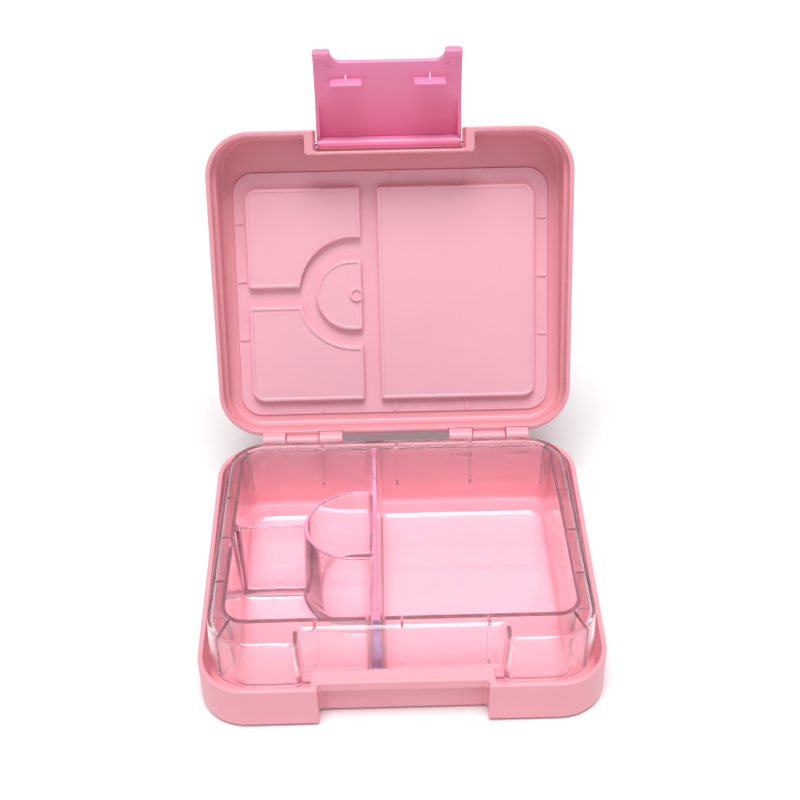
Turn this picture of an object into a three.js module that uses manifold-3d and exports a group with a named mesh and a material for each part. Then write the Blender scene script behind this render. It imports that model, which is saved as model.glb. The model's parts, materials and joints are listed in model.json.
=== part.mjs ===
// Bento lunch box: a hinged two-part shell with a wedge-shaped base, a clear lift-out tray with four
// compartments, a silicone seal in the lid and a swinging front latch.
// Millimetres. +X is right, +Y runs to the hinge and +Z is up. The origin is the middle of the underside.
// The lid and everything on it are drawn in their closed place, and then turned open about the hinge.
import * as THREE from 'three';
import { mergeVertices } from 'three/addons/utils/BufferGeometryUtils.js';
import Module from 'manifold-3d';

const wasm = await Module();
wasm.setup();

// ---- driving dimensions -------------------------------------------------------------------------

const GAP = 0.3;                 // air between pieces that touch in the real box
const FAR = 120;                 // reach of a cutting block beyond the box

// closed box
const BOX_WIDTH = 176;
const BOX_DEPTH = 151;
const BOX_HEIGHT = 52;
const CORNER_RADIUS = 21.5;
const EDGE_ROUND = 3;            // rounding of the bottom and top outer edges
const WALL = 2.3;
const FLOOR = 2.2;
const ROOF = 2.4;
const RIM_FRONT = 21.2;          // height of the sloping parting line at the front face
const RIM_BACK = 38.35;          // and at the back face

// latch recess in the front of the base, with a lip that the hooks catch under
const RECESS_HALF = 36.1;        // also the half width of the lid's bay
const LIP_FACE = -71.8;
const LIP_BOTTOM = 17;
const RECESS_WALL = -67.5;
const BASE_HOUSING_HALF = 39.1;
const BASE_HOUSING_BACK = -64.65;

// latch bay in the front of the lid, which the latch's flange closes at the top
const BAY_BACK = -65.3;
const BAY_SHELF = -66.2;         // shelf at the top of the bay, behind the latch's barrel
const BAY_SHELF_UNDERSIDE = 50.2;
const LID_HOUSING_HALF = 40.4;
const LID_HOUSING_BACK = -64;

// inside of the lid: a ledge that follows the rim, a wall that clears the tray, and the seal's bed
const LEDGE_RISE = 5;            // how far the ledge stands above the parting line
const LID_STEPS = [
  { inset: 4.4, front: 2.95, top: 45.1 },
  { inset: 6.3, front: 4.8, top: 46.8 },
];

// hinge: two sets, each a lid knuckle between two tabs of the base, on a steel pin
const HINGE_Y = 78.5;
const HINGE_Z = 38;
const LID_OPEN_DEG = 112.7;
const KNUCKLE_RADIUS = 2.8;
const TAB_RADIUS = 4.6;
const PIN_RADIUS = 1;
const BORE_RADIUS = PIN_RADIUS + GAP;
const TAB_SPANS = [[26.9, 38.6], [55.6, 66.95]];
const KNUCKLE_SPAN = [38.95, 55.25];
const TAB_SLOT_BOTTOM = 30.8;    // window that the tab's mould core leaves in the back wall
const TAB_SLOT_TOP = 33.2;
const LID_ARM_REACH = 1.6;       // how far a lid arm runs past the hinge axis
const LID_ARM_TOP = 44;

// tray
const TRAY_TOP = 44.5;
const TRAY_HALF = 82.2;
const TRAY_FRONT = -71.3;
const TRAY_BACK = 69.2;
const TRAY_CORNER = 20;
const TRAY_SHEET = 1.8;
const SKIRT = 1.5;
const SKIRT_BOTTOM = 20.5;
const SKIRT_FLARE = 1.2;         // how far the skirt leans out from its top to its lower edge
const TRAY_NOTCH_HALF = 43.5;
const TRAY_NOTCH_BACK = -62.2;
const NOTCH_NARROWING = 1.4;     // the notch closes in by this much towards the skirt's lower edge
const NOTCH_CORNER = 2.5;
const POCKET_HALF = 74.9;        // inside faces of the compartments at the top
const POCKET_FRONT = -55.6;
const POCKET_BACK = 61.95;
const POCKET_WALL = 1.8;
const POCKET_CORNER = 9;
const POCKET_FLOOR = 4;
const POCKET_UNDERSIDE = FLOOR + GAP;
const POCKET_DRAFT = 1.7;
const POCKET_FILLET = 3.5;
const DIVIDER_X = -11;
const DIVIDER_Y = 4.2;
const DIVIDER = 2;
const CUP_X = -18.9;
const CUP_RADIUS = 22.6;         // inside of the D-shaped dip cup
const RIB = 1.2;
const RIB_COLUMNS = [-36.6, 0, 36.6];
const RIB_ROWS = [27.2, -2, -31];

// lid seal: a sheet with four pads that plug the compartments
const SEAL_HALF = 77.5;
const SEAL_FRONT = -55.1;
const SEAL_BACK = 66.2;
const SEAL_CORNER = 10;
const SEAL_UNDERSIDE = 46;
const PAD_UNDERSIDE = 42.5;
const PAD_CORNER = 6;            // pad corners at the corners of the sheet
const PAD_CORNER_SMALL = 1.2;    // and beside the dividers
const PAD_LEFT = -71.7;
const PAD_LEFT_END = -15.2;
const PAD_RIGHT_START = -6.7;
const PAD_RIGHT = 70.9;
const PAD_FRONT = -47.6;
const PAD_BACK = 59;
const PAD_DIVIDER = [1.4, 10.6]; // gap between the two left pads
const PAD_CUP_CLEARANCE = 4.6;
const CUP_PAD_RADIUS = 18.6;
const CUP_PAD_SHIFT = 1;         // how far the cup's pad lies behind the cup's middle
const BOSS_RADIUS = 3.4;
const BOSS_X = -17.7;
const BOSS_DROP = 1;
const EMBED = 0.5;               // how deep a joined piece runs into the one that carries it

// latch
const LATCH_Y = -68.6;           // pivot pin
const LATCH_Z = 48.6;
const LATCH_OPEN_DEG = 56;
const LATCH_HALF = 35.4;
const LATCH_BARREL = 2.3;
const FLANGE_UNDERSIDE = 48.4;   // flange from the plate to the barrel
const LATCH_EDGE_ROUND = 1.2;    // outer edge between the plate and the flange
const PLATE_INNER = -74;
const PLATE_OUTER = -76.3;
const PLATE_END = 6.5;
const EAR_WIDTH = 8.3;
const EAR_END = 0.3;
const EAR_ROUND = 1.2;
const EAR_CURVE = 5;             // concave curve between an ear and the plate's end
const EAR_LIP_REACH = -71.9;     // lip inside each ear's end
const EAR_LIP_HEIGHT = 3.4;
const HOOK_SPAN = [12.5, 27.6];
const HOOK_TOP = LIP_BOTTOM - GAP;
const HOOK_THICKNESS = 1.3;
const HOOK_REACH = -68.2;
const GUSSET = 1;                // web below the middle of each hook
const GUSSET_DROP = 2.6;
const GUSSET_SETBACK = 1.6;      // how far the gusset stops short of the hook's end
const CHEEK = 1.8;
const CHEEK_END = 25;            // height at which the cheek has tapered away
const LATCH_PIN_HALF = 38.6;

// ---- solids -------------------------------------------------------------------------------------

/** A manifold solid of a closed geometry. */
function solidOf(geometry) {
  const bare = geometry.clone();
  bare.deleteAttribute('normal');
  bare.deleteAttribute('uv');
  const merged = mergeVertices(bare, 1e-4);
  return new wasm.Manifold(new wasm.Mesh({
    numProp: 3,
    vertProperties: new Float32Array(merged.attributes.position.array),
    triVerts: new Uint32Array(merged.index.array),
  }));
}

/** The three.js geometry of a manifold solid. */
function geometryOf(solid) {
  const mesh = solid.getMesh();
  const geometry = new THREE.BufferGeometry();
  geometry.setAttribute('position', new THREE.BufferAttribute(mesh.vertProperties, 3));
  geometry.setIndex(new THREE.BufferAttribute(mesh.triVerts, 1));
  geometry.computeVertexNormals();
  return geometry;
}

function join(solids) {
  return solids.reduce((whole, piece) => whole.add(piece));
}

function block(x0, x1, y0, y1, z0, z1) {
  const geometry = new THREE.BoxGeometry(x1 - x0, y1 - y0, z1 - z0);
  geometry.translate((x0 + x1) / 2, (y0 + y1) / 2, (z0 + z1) / 2);
  return solidOf(geometry);
}

/** A round rod along X. */
function rodX(x0, x1, y, z, radius, sides = 20) {
  const geometry = new THREE.CylinderGeometry(radius, radius, x1 - x0, sides);
  geometry.rotateZ(Math.PI / 2);
  geometry.translate((x0 + x1) / 2, y, z);
  return solidOf(geometry);
}

/** An upright disc, such as a cup or a boss. */
function disc(x, y, radius, z0, z1, sides = 40) {
  const geometry = new THREE.CylinderGeometry(radius, radius, z1 - z0, sides);
  geometry.rotateX(Math.PI / 2);
  geometry.translate(x, y, (z0 + z1) / 2);
  return solidOf(geometry);
}

/** A rectangle with round corners. */
function roundedRectangle(x0, x1, y0, y1, radius) {
  const shape = new THREE.Shape();
  shape.absarc(x1 - radius, y1 - radius, radius, 0, Math.PI / 2);
  shape.absarc(x0 + radius, y1 - radius, radius, Math.PI / 2, Math.PI);
  shape.absarc(x0 + radius, y0 + radius, radius, Math.PI, 1.5 * Math.PI);
  shape.absarc(x1 - radius, y0 + radius, radius, 1.5 * Math.PI, 2 * Math.PI);
  return shape;
}

/** The box's plan, inset from its outside. */
function boxPlan(inset, frontInset = inset) {
  const halfWidth = BOX_WIDTH / 2 - inset;
  const halfDepth = BOX_DEPTH / 2;
  return roundedRectangle(
    -halfWidth, halfWidth, -halfDepth + frontInset, halfDepth - inset, CORNER_RADIUS - inset,
  );
}

/** An upright prism of a plan; round is the radius of its top and bottom edges. */
function prismGeometry(plan, z0, z1, round = 0) {
  const geometry = new THREE.ExtrudeGeometry(plan, {
    depth: z1 - z0 - 2 * round,
    curveSegments: 8,
    bevelEnabled: round > 0,
    bevelThickness: round,
    bevelSize: round,
    bevelOffset: -round,
    bevelSegments: 3,
  });
  geometry.translate(0, 0, z0 + round);
  return geometry;
}

function prism(plan, z0, z1, round = 0) {
  return solidOf(prismGeometry(plan, z0, z1, round));
}

/** A prism whose outline shrinks evenly by inset from level z1 down to level z0. */
function draftedPrism(plan, z0, z1, inset, round = 0) {
  const geometry = prismGeometry(plan, z0, z1 + round, round);
  geometry.computeBoundingBox();
  const centre = geometry.boundingBox.getCenter(new THREE.Vector3());
  const half = geometry.boundingBox.getSize(new THREE.Vector3()).multiplyScalar(0.5);
  const point = geometry.attributes.position;
  for (let i = 0; i < point.count; i += 1) {
    const shrink = inset * (z1 - point.getZ(i)) / (z1 - z0);
    const x = centre.x + (point.getX(i) - centre.x) * (1 - shrink / half.x);
    const y = centre.y + (point.getY(i) - centre.y) * (1 - shrink / half.y);
    point.setXY(i, x, y);
  }
  return solidOf(geometry);
}

/** A block whose lower or upper face is the sloping parting plane, lifted by offset. */
function partingBlock(keepAbove, offset) {
  const thickness = FAR;
  const geometry = new THREE.BoxGeometry(3 * FAR, 3 * FAR, thickness);
  geometry.translate(0, 0, keepAbove ? thickness / 2 : -thickness / 2);
  geometry.rotateX(Math.atan2(RIM_BACK - RIM_FRONT, BOX_DEPTH));
  geometry.translate(0, 0, (RIM_FRONT + RIM_BACK) / 2 + offset);
  return solidOf(geometry);
}

// ---- shells -------------------------------------------------------------------------------------

/** Both hinge sides, left and right, of a span given for the right. */
function bothSides([near, far]) {
  return [[near, far], [-far, -near]];
}

function hingeBore(x0, x1) {
  return rodX(x0 - 1, x1 + 1, HINGE_Y, HINGE_Z, BORE_RADIUS, 16);
}

/** One tab of the base: a thick round boss on the hinge axis, on a web from the back wall. */
function baseTab(x0, x1) {
  const boss = rodX(x0, x1, HINGE_Y, HINGE_Z, TAB_RADIUS);
  const web = block(x0, x1, BOX_DEPTH / 2 - 1, HINGE_Y, HINGE_Z - TAB_RADIUS, HINGE_Z);
  const insideWall = block(x0 - 1, x1 + 1, 0, BOX_DEPTH / 2 - WALL / 2, 0, BOX_HEIGHT);
  return boss.add(web).subtract(hingeBore(x0, x1)).subtract(insideWall);
}

function baseShell() {
  const outside = prism(boxPlan(0), 0, BOX_HEIGHT, EDGE_ROUND);
  const housing = block(-BASE_HOUSING_HALF, BASE_HOUSING_HALF, -FAR, BASE_HOUSING_BACK, 0, BOX_HEIGHT);
  const inside = prism(boxPlan(WALL), FLOOR, 2 * BOX_HEIGHT, EDGE_ROUND).subtract(housing);
  let shell = outside.subtract(inside).subtract(partingBlock(true, 0));
  shell = shell.subtract(block(-RECESS_HALF, RECESS_HALF, -FAR, LIP_FACE, -1, BOX_HEIGHT));
  shell = shell.subtract(block(-RECESS_HALF, RECESS_HALF, -FAR, RECESS_WALL, -1, LIP_BOTTOM));
  for (const span of TAB_SPANS) {
    for (const [x0, x1] of bothSides(span)) {
      const slot = block(x0, x1, BOX_DEPTH / 2 - 2 * WALL, BOX_DEPTH, TAB_SLOT_BOTTOM, TAB_SLOT_TOP);
      shell = shell.add(baseTab(x0, x1)).subtract(slot);
    }
  }
  return shell;
}

/** One knuckle of the lid: a round boss on the hinge axis, on an arm from the lid's back wall. */
function lidKnuckle(x0, x1) {
  const boss = rodX(x0, x1, HINGE_Y, HINGE_Z, KNUCKLE_RADIUS);
  const arm = block(x0, x1, BOX_DEPTH / 2 - 1, HINGE_Y + LID_ARM_REACH, HINGE_Z + 1, LID_ARM_TOP);
  return boss.add(arm).subtract(hingeBore(x0, x1));
}

function lidShell() {
  const outside = prism(boxPlan(0), 0, BOX_HEIGHT, EDGE_ROUND);
  const housing = block(-LID_HOUSING_HALF, LID_HOUSING_HALF, -FAR, LID_HOUSING_BACK, 0, BOX_HEIGHT);
  const rimWell = prism(boxPlan(WALL), -1, BOX_HEIGHT - ROOF).subtract(partingBlock(true, GAP + LEDGE_RISE));
  const seat = roundedRectangle(
    -SEAL_HALF - GAP, SEAL_HALF + GAP, SEAL_FRONT - GAP, SEAL_BACK + GAP, SEAL_CORNER + GAP,
  );
  const wells = LID_STEPS.map((step) => prism(boxPlan(step.inset, step.front), -1, step.top));
  const inside = join([rimWell, ...wells, prism(seat, -1, BOX_HEIGHT - ROOF)]);
  let shell = outside.subtract(inside.subtract(housing)).subtract(partingBlock(false, GAP));
  shell = shell.subtract(block(-RECESS_HALF, RECESS_HALF, -FAR, BAY_BACK, 0, BAY_SHELF_UNDERSIDE));
  shell = shell.subtract(block(-RECESS_HALF, RECESS_HALF, -FAR, BAY_SHELF, 0, BOX_HEIGHT + 1));
  const pinHoles = rodX(-LATCH_PIN_HALF - GAP, LATCH_PIN_HALF + GAP, LATCH_Y, LATCH_Z, BORE_RADIUS, 16);
  shell = shell.subtract(pinHoles);
  for (const span of TAB_SPANS) {
    for (const [x0, x1] of bothSides(span)) {
      shell = shell.subtract(rodX(x0 - GAP, x1 + GAP, HINGE_Y, HINGE_Z, TAB_RADIUS + GAP));
    }
  }
  for (const [x0, x1] of bothSides(KNUCKLE_SPAN)) {
    shell = shell.add(lidKnuckle(x0, x1));
  }
  return shell;
}

// ---- tray ---------------------------------------------------------------------------------------

/** The skirt's drafted envelope, inset evenly, with the latch notch taken out of its front. */
function trayEnvelope(inset, z0, z1) {
  const plan = roundedRectangle(
    -TRAY_HALF + inset, TRAY_HALF - inset, TRAY_FRONT + inset, TRAY_BACK - inset, TRAY_CORNER - inset,
  );
  const notchHalf = TRAY_NOTCH_HALF + inset;
  const notchFront = TRAY_FRONT - 2 * TRAY_CORNER;
  const notch = roundedRectangle(-notchHalf, notchHalf, notchFront, TRAY_NOTCH_BACK + inset, NOTCH_CORNER);
  const notchBlock = draftedPrism(notch, SKIRT_BOTTOM, TRAY_TOP, NOTCH_NARROWING, 0);
  const reach = block(-FAR, FAR, -FAR, FAR, z0, z1);
  const body = draftedPrism(plan, SKIRT_BOTTOM, TRAY_TOP, -SKIRT_FLARE);
  return body.subtract(notchBlock).intersect(reach);
}

/** Everything inside the D-shaped cup, grown evenly; z0 and z1 are its bottom and top. */
function cupSolid(grow, z0, z1, draft) {
  const radius = CUP_RADIUS + grow;
  const flat = DIVIDER_X - DIVIDER / 2 + Math.min(grow, DIVIDER);
  const plan = new THREE.Shape();
  plan.moveTo(flat, DIVIDER_Y + radius);
  plan.lineTo(CUP_X, DIVIDER_Y + radius);
  plan.absarc(CUP_X, DIVIDER_Y, radius, Math.PI / 2, 1.5 * Math.PI);
  plan.lineTo(flat, DIVIDER_Y - radius);
  return draftedPrism(plan, z0, z1, draft);
}

/** One compartment's inside, open at the top, with a rounded foot. */
function pocket(x0, x1, y0, y1) {
  const plan = roundedRectangle(x0, x1, y0, y1, POCKET_CORNER);
  return draftedPrism(plan, POCKET_FLOOR, TRAY_TOP, POCKET_DRAFT, POCKET_FILLET);
}

function trayPockets() {
  const left = DIVIDER_X - DIVIDER / 2;
  const right = DIVIDER_X + DIVIDER / 2;
  const cupWall = cupSolid(POCKET_WALL, 0, BOX_HEIGHT, -POCKET_DRAFT);
  const leftPockets = join([
    pocket(-POCKET_HALF, left, DIVIDER_Y + DIVIDER / 2, POCKET_BACK),
    pocket(-POCKET_HALF, left, POCKET_FRONT, DIVIDER_Y - DIVIDER / 2),
  ]).subtract(cupWall);
  const cup = cupSolid(0, POCKET_FLOOR, TRAY_TOP + 1, POCKET_DRAFT);
  return join([leftPockets, cup, pocket(right, POCKET_HALF, POCKET_FRONT, POCKET_BACK)]);
}

/** Upright webs between the compartment walls and the skirt. */
function trayRibs() {
  const sheetUnderside = TRAY_TOP - TRAY_SHEET / 2;
  const ribs = [];
  for (const x of RIB_COLUMNS) {
    ribs.push(block(x - RIB / 2, x + RIB / 2, POCKET_BACK, FAR, SKIRT_BOTTOM, sheetUnderside));
    ribs.push(block(x - RIB / 2, x + RIB / 2, -FAR, POCKET_FRONT, SKIRT_BOTTOM, sheetUnderside));
  }
  for (const y of RIB_ROWS) {
    ribs.push(block(POCKET_HALF, FAR, y - RIB / 2, y + RIB / 2, SKIRT_BOTTOM, sheetUnderside));
    ribs.push(block(-FAR, -POCKET_HALF, y - RIB / 2, y + RIB / 2, SKIRT_BOTTOM, sheetUnderside));
  }
  return join(ribs).intersect(trayEnvelope(SKIRT / 2, SKIRT_BOTTOM, TRAY_TOP));
}

function foodTray() {
  const hollow = trayEnvelope(SKIRT, SKIRT_BOTTOM, TRAY_TOP - TRAY_SHEET);
  const skirt = trayEnvelope(0, SKIRT_BOTTOM, TRAY_TOP).subtract(hollow);
  const tub = draftedPrism(
    roundedRectangle(
      -POCKET_HALF - POCKET_WALL, POCKET_HALF + POCKET_WALL,
      POCKET_FRONT - POCKET_WALL, POCKET_BACK + POCKET_WALL, POCKET_CORNER + POCKET_WALL,
    ),
    POCKET_UNDERSIDE, TRAY_TOP, POCKET_DRAFT, POCKET_FILLET,
  ).intersect(block(-FAR, FAR, -FAR, FAR, 0, TRAY_TOP));
  return join([skirt, tub, trayRibs()]).subtract(trayPockets());
}

// ---- seal ---------------------------------------------------------------------------------------

/** A pad with its own radius at each corner, from the lower left anticlockwise. */
function sealPad(x0, x1, y0, y1, [lowerLeft, lowerRight, upperRight, upperLeft]) {
  const plan = new THREE.Shape();
  plan.moveTo(x0, y0 + lowerLeft);
  plan.absarc(x0 + lowerLeft, y0 + lowerLeft, lowerLeft, Math.PI, 1.5 * Math.PI);
  plan.absarc(x1 - lowerRight, y0 + lowerRight, lowerRight, 1.5 * Math.PI, 2 * Math.PI);
  plan.absarc(x1 - upperRight, y1 - upperRight, upperRight, 0, 0.5 * Math.PI);
  plan.absarc(x0 + upperLeft, y1 - upperLeft, upperLeft, 0.5 * Math.PI, Math.PI);
  return prism(plan, PAD_UNDERSIDE, SEAL_UNDERSIDE + 1);
}

/** The small pad over the cup: a disc with a flat side towards the divider, and a round boss on it. */
function cupPad() {
  const flat = DIVIDER_X - PAD_CUP_CLEARANCE;
  const middle = DIVIDER_Y + CUP_PAD_SHIFT;
  const round = disc(CUP_X, middle, CUP_PAD_RADIUS, PAD_UNDERSIDE, SEAL_UNDERSIDE + 1);
  const boss = disc(BOSS_X, middle, BOSS_RADIUS, PAD_UNDERSIDE - BOSS_DROP, SEAL_UNDERSIDE, 20);
  return round.add(boss).subtract(block(flat, FAR, -FAR, FAR, 0, BOX_HEIGHT));
}

function lidSeal() {
  const sheetPlan = roundedRectangle(-SEAL_HALF, SEAL_HALF, SEAL_FRONT, SEAL_BACK, SEAL_CORNER);
  const sheet = prism(sheetPlan, SEAL_UNDERSIDE, BOX_HEIGHT - ROOF - GAP);
  const aroundCup = disc(CUP_X, DIVIDER_Y, CUP_RADIUS + PAD_CUP_CLEARANCE, 0, SEAL_UNDERSIDE);
  const [large, small] = [PAD_CORNER, PAD_CORNER_SMALL];
  const [low, high] = PAD_DIVIDER;
  const back = sealPad(PAD_LEFT, PAD_LEFT_END, high, PAD_BACK, [small, small, small, large]);
  const front = sealPad(PAD_LEFT, PAD_LEFT_END, PAD_FRONT, low, [large, small, small, small]);
  const right = sealPad(PAD_RIGHT_START, PAD_RIGHT, PAD_FRONT, PAD_BACK, [small, large, large, small]);
  return join([sheet, back.add(front).subtract(aroundCup), cupPad(), right]);
}

// ---- latch --------------------------------------------------------------------------------------

/** The latch's plan in X and height: a plate with two ears below it. */
function latchPlan() {
  const earInner = LATCH_HALF - EAR_WIDTH;
  const plan = new THREE.Shape();
  plan.moveTo(-LATCH_HALF, LATCH_Z);
  plan.lineTo(-LATCH_HALF, EAR_END + EAR_ROUND);
  plan.absarc(-LATCH_HALF + EAR_ROUND, EAR_END + EAR_ROUND, EAR_ROUND, Math.PI, 1.5 * Math.PI);
  plan.absarc(-earInner - EAR_ROUND, EAR_END + EAR_ROUND, EAR_ROUND, 1.5 * Math.PI, 2 * Math.PI);
  plan.quadraticCurveTo(-earInner, PLATE_END, -earInner + EAR_CURVE, PLATE_END);
  plan.lineTo(earInner - EAR_CURVE, PLATE_END);
  plan.quadraticCurveTo(earInner, PLATE_END, earInner, EAR_END + EAR_ROUND);
  plan.absarc(earInner + EAR_ROUND, EAR_END + EAR_ROUND, EAR_ROUND, Math.PI, 1.5 * Math.PI);
  plan.absarc(LATCH_HALF - EAR_ROUND, EAR_END + EAR_ROUND, EAR_ROUND, 1.5 * Math.PI, 2 * Math.PI);
  plan.lineTo(LATCH_HALF, LATCH_Z);
  return plan;
}

/** A plate of a side-view plan in Y and Z, from x0 to x1. */
function sidePlate(plan, x0, x1) {
  const geometry = new THREE.ExtrudeGeometry(plan, { depth: x1 - x0, curveSegments: 6, bevelEnabled: false });
  geometry.rotateX(Math.PI / 2);
  geometry.rotateZ(Math.PI / 2);
  geometry.translate(x0, 0, 0);
  return solidOf(geometry);
}

/** A straight-edged side view from its corners, each [y, z]. */
function sidePlan(corners) {
  return new THREE.Shape(corners.map(([y, z]) => new THREE.Vector2(y, z)));
}

/** One hook: a ledge that catches under the lip, with a gusset below its middle. */
function hook(x0, x1) {
  const middle = (x0 + x1) / 2;
  const root = PLATE_INNER - EMBED;
  const ledge = block(x0, x1, root, HOOK_REACH, HOOK_TOP - HOOK_THICKNESS, HOOK_TOP);
  const bottom = HOOK_TOP - HOOK_THICKNESS;
  const gussetPlan = sidePlan([
    [root, bottom - GUSSET_DROP],
    [HOOK_REACH - GUSSET_SETBACK, bottom + EMBED],
    [root, bottom + EMBED],
  ]);
  return ledge.add(sidePlate(gussetPlan, middle - GUSSET / 2, middle + GUSSET / 2));
}

/** A side cheek that stiffens the plate and tapers away from the pivot. */
function cheek(x0, x1) {
  const root = PLATE_INNER - EMBED;
  return sidePlate(sidePlan([
    [root, CHEEK_END],
    [LATCH_Y, LATCH_Z - LATCH_BARREL],
    [LATCH_Y, LATCH_Z],
    [root, LATCH_Z],
  ]), x0, x1);
}

function latch() {
  const plateGeometry = new THREE.ExtrudeGeometry(latchPlan(), {
    depth: PLATE_INNER - PLATE_OUTER, curveSegments: 6, bevelEnabled: false,
  });
  plateGeometry.rotateX(Math.PI / 2);
  plateGeometry.translate(0, PLATE_INNER, 0);
  const barrel = rodX(-LATCH_HALF, LATCH_HALF, LATCH_Y, LATCH_Z, LATCH_BARREL);
  const flangeTop = LATCH_Z + LATCH_BARREL;
  const flange = sidePlate(sidePlan([
    [PLATE_OUTER, FLANGE_UNDERSIDE],
    [LATCH_Y, FLANGE_UNDERSIDE],
    [LATCH_Y, flangeTop],
    [PLATE_OUTER + LATCH_EDGE_ROUND, flangeTop],
    [PLATE_OUTER, flangeTop - LATCH_EDGE_ROUND],
  ]), -LATCH_HALF, LATCH_HALF);
  const pieces = [solidOf(plateGeometry), barrel, flange];
  for (const [x0, x1] of bothSides([LATCH_HALF - EAR_WIDTH, LATCH_HALF])) {
    pieces.push(block(x0, x1, PLATE_INNER - EMBED, EAR_LIP_REACH, EAR_END, EAR_END + EAR_LIP_HEIGHT));
  }
  for (const [x0, x1] of bothSides(HOOK_SPAN)) {
    pieces.push(hook(x0, x1));
  }
  for (const [x0, x1] of bothSides([LATCH_HALF - CHEEK, LATCH_HALF])) {
    pieces.push(cheek(x0, x1));
  }
  const bore = rodX(-LATCH_HALF - 1, LATCH_HALF + 1, LATCH_Y, LATCH_Z, BORE_RADIUS, 16);
  return join(pieces).subtract(bore);
}

// ---- assembly -----------------------------------------------------------------------------------

const shellPink = { color: 0xe9a7b2, roughness: 0.42, metalness: 0 };
const latchPink = { color: 0xe8669f, roughness: 0.3, metalness: 0 };
const sealPink = { color: 0xf3b6c8, roughness: 0.6, metalness: 0 };
const clearTray = { color: 0xdcd8ee, roughness: 0.08, metalness: 0, transparent: true, opacity: 0.35 };
const steel = { color: 0xb9bcc0, roughness: 0.3, metalness: 1 };

/** A named sub-part. */
function part(name, solid, finish) {
  const mesh = new THREE.Mesh(geometryOf(solid), new THREE.MeshStandardMaterial(finish));
  mesh.name = name;
  return mesh;
}

/** A group whose children, drawn closed, are turned about an X axis through (y, z). */
function turnedAboutX(degrees, y, z, children) {
  const turned = new THREE.Group();
  turned.position.set(0, y, z);
  turned.rotation.x = THREE.MathUtils.degToRad(degrees);
  const closed = new THREE.Group();
  closed.position.set(0, -y, -z);
  closed.add(...children);
  turned.add(closed);
  return turned;
}

const hingePinEnds = [TAB_SPANS[0][0] + GAP, TAB_SPANS[1][1] - GAP];
const hingePins = bothSides(hingePinEnds).map(([x0, x1]) => (
  part(x0 > 0 ? 'hinge_pin_right' : 'hinge_pin_left', rodX(x0, x1, HINGE_Y, HINGE_Z, PIN_RADIUS, 16), steel)
));
const openLatch = turnedAboutX(-LATCH_OPEN_DEG, LATCH_Y, LATCH_Z, [part('latch', latch(), latchPink)]);
const openLid = turnedAboutX(-LID_OPEN_DEG, HINGE_Y, HINGE_Z, [
  part('lid_shell', lidShell(), shellPink),
  part('lid_seal', lidSeal(), sealPink),
  part('latch_pin', rodX(-LATCH_PIN_HALF, LATCH_PIN_HALF, LATCH_Y, LATCH_Z, PIN_RADIUS, 16), steel),
  openLatch,
]);

const bentoBox = new THREE.Group();
bentoBox.add(part('base_shell', baseShell(), shellPink), ...hingePins);
bentoBox.add(part('food_tray', foodTray(), clearTray));
bentoBox.add(openLid);

export default bentoBox;
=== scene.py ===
"""An open bento lunch box on a pale floor.

Two pink shells on a steel-pinned hinge, a clear divided tray, a silicone lid seal and a hot pink latch.
Lengths inside the classes are millimetres in the closed box's frame, and meshes are written in metres.
"""

import json
import logging
import math
from collections.abc import Callable, Sequence
from dataclasses import dataclass, field, replace
from enum import Enum

import bmesh
import bpy
from mathutils import Matrix, Vector


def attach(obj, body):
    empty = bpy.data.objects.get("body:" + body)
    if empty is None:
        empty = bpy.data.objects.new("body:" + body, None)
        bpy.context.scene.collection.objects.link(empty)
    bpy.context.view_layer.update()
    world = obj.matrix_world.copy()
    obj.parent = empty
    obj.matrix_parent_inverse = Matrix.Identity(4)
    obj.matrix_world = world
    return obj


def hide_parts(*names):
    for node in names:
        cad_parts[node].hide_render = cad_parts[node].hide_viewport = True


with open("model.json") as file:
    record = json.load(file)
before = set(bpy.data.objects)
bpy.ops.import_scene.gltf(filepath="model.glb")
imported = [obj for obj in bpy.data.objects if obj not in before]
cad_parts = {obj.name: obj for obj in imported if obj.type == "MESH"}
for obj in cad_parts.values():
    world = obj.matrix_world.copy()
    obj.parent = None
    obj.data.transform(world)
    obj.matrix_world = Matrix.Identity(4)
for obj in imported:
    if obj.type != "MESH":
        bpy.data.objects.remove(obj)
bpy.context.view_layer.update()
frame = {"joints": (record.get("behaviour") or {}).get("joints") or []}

LOG = logging.getLogger("bento_box")
MM = 0.001
SHARP = 0.05         # fillet of a corner that is left sharp, mm
TOOL_EDGE = 0.1      # rounding of a cutting tool's ends, mm
PAST = 1.0           # how far a cutting tool or a joined root runs past a face, mm
END_EDGE = 0.4       # rounding of the ends of knuckles, tabs and bars, mm
WELD_MM = 1e-4       # vertices of a loft closer than this become one, mm
WELD = 2e-6          # the same after a boolean, m
SLIVER = 1e-6        # edges shorter than this are dropped, m
Point = tuple[float, float]
Height = float | Callable[[float, float], float]


class Rides(Enum):
    """The moving bodies that pieces ride on."""

    BASE = "base"
    LID = "lid"
    LATCH = "latch"
    TRAY = "tray"


class Slot(Enum):
    """The record's material slots."""

    SHELL = "shell_plastic"
    LATCH = "latch_plastic"
    SEAL = "seal_silicone"
    TRAY = "clear_tray"
    STEEL = "steel_pin"


# ---- places taken from the frame ----------------------------------------------------------------


def joint_named(name: str) -> dict:
    """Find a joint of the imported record.

    Args:
        name: The joint's name.

    Returns:
        The joint's entry.
    """
    return next(joint for joint in frame["joints"] if joint["name"] == name)


def turn_about_x(degrees: float, y: float, z: float) -> Matrix:
    """Make a turn about a line along X.

    Args:
        degrees: Angle, positive from +Y to +Z.
        y: The line's Y in millimetres.
        z: The line's Z in millimetres.

    Returns:
        The turn as a matrix, in millimetres.
    """
    centre = Matrix.Translation((0, y, z))
    return centre @ Matrix.Rotation(math.radians(degrees), 4, "X") @ centre.inverted()


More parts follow.
